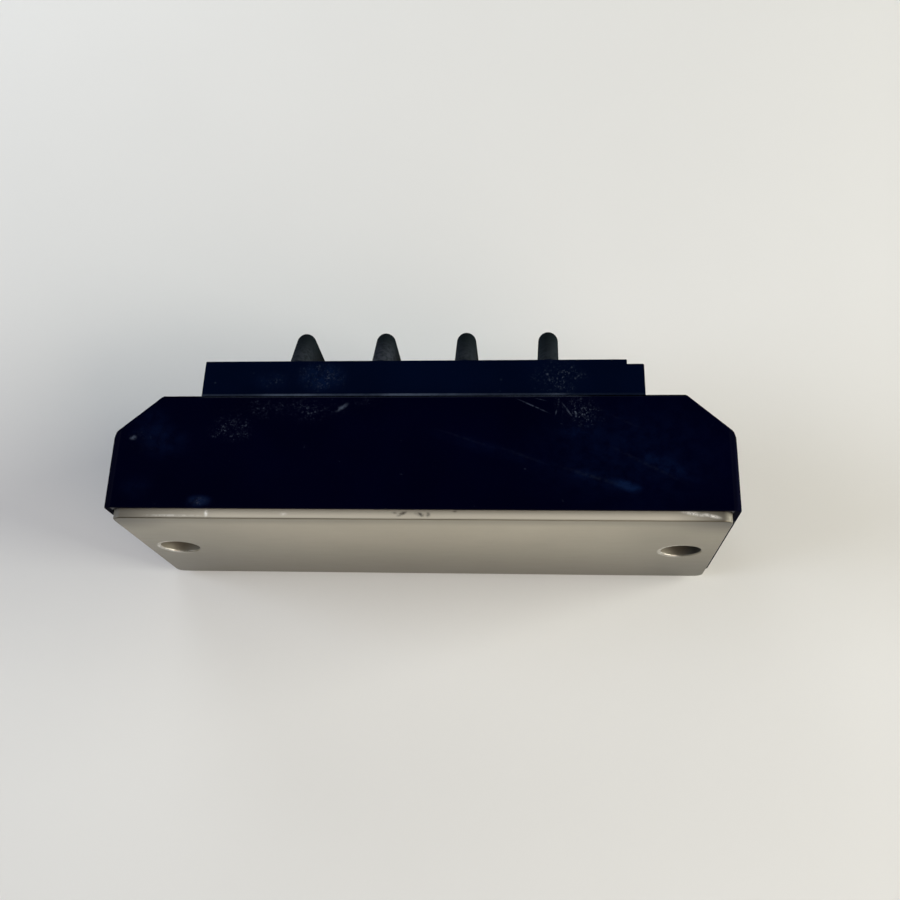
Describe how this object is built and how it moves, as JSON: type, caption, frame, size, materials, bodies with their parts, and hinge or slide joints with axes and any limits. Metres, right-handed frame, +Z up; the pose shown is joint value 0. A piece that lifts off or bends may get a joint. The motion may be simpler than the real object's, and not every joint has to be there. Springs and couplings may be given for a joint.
{
  "type": "power transistor module",
  "caption": "Oblong power transistor module with a nickel-plated base plate, a dark moulded case with chamfered ends, and a raised terminal block with screw terminals between barrier ribs.",
  "frame": {"origin": "centre of the mounting face, which is the underside of the base plate", "axes": "the module lies on one long side as in the picture: +X along the module towards the stepped end of the terminal block, +Y from the mounting face to the terminals, +Z up"},
  "size_m": [0.0932, 0.0326, 0.034],
  "materials": {
    "nickel_plate": "satin nickel plating on copper, scuffed",
    "moulded_plastic": "dark blue-black moulded, satin, with light scuffs",
    "zinc_steel": "bright zinc plating",
    "copper": "bare copper foil",
    "alumina": "unglazed white ceramic",
    "silicon": "polished grey, opaque",
    "bond_aluminium": "drawn wire",
    "gel": "clear soft gel",
    "resin": "cast filled resin"
  },
  "bodies": {
    "root": {"base_plate": "nickel_plate", "case": "moulded_plastic", "terminal_block": "moulded_plastic", "collector_1_terminal": "nickel_plate", "base_1_terminal": "nickel_plate", "midpoint_terminal": "nickel_plate", "base_2_terminal": "nickel_plate", "emitter_2_terminal": "nickel_plate", "terminal_nuts": "zinc_steel", "terminal_screws": "zinc_steel", "spring_washers": "zinc_steel", "flat_washers": "zinc_steel", "substrate_back_foil": "copper", "ceramic_substrate": "alumina", "circuit_foil": "copper", "transistor_chips": "silicon", "diode_chips": "silicon", "emitter_wires": "bond_aluminium", "base_wires": "bond_aluminium", "silicone_gel": "gel", "resin_seal": "resin"}
  },
  "joints": []
}
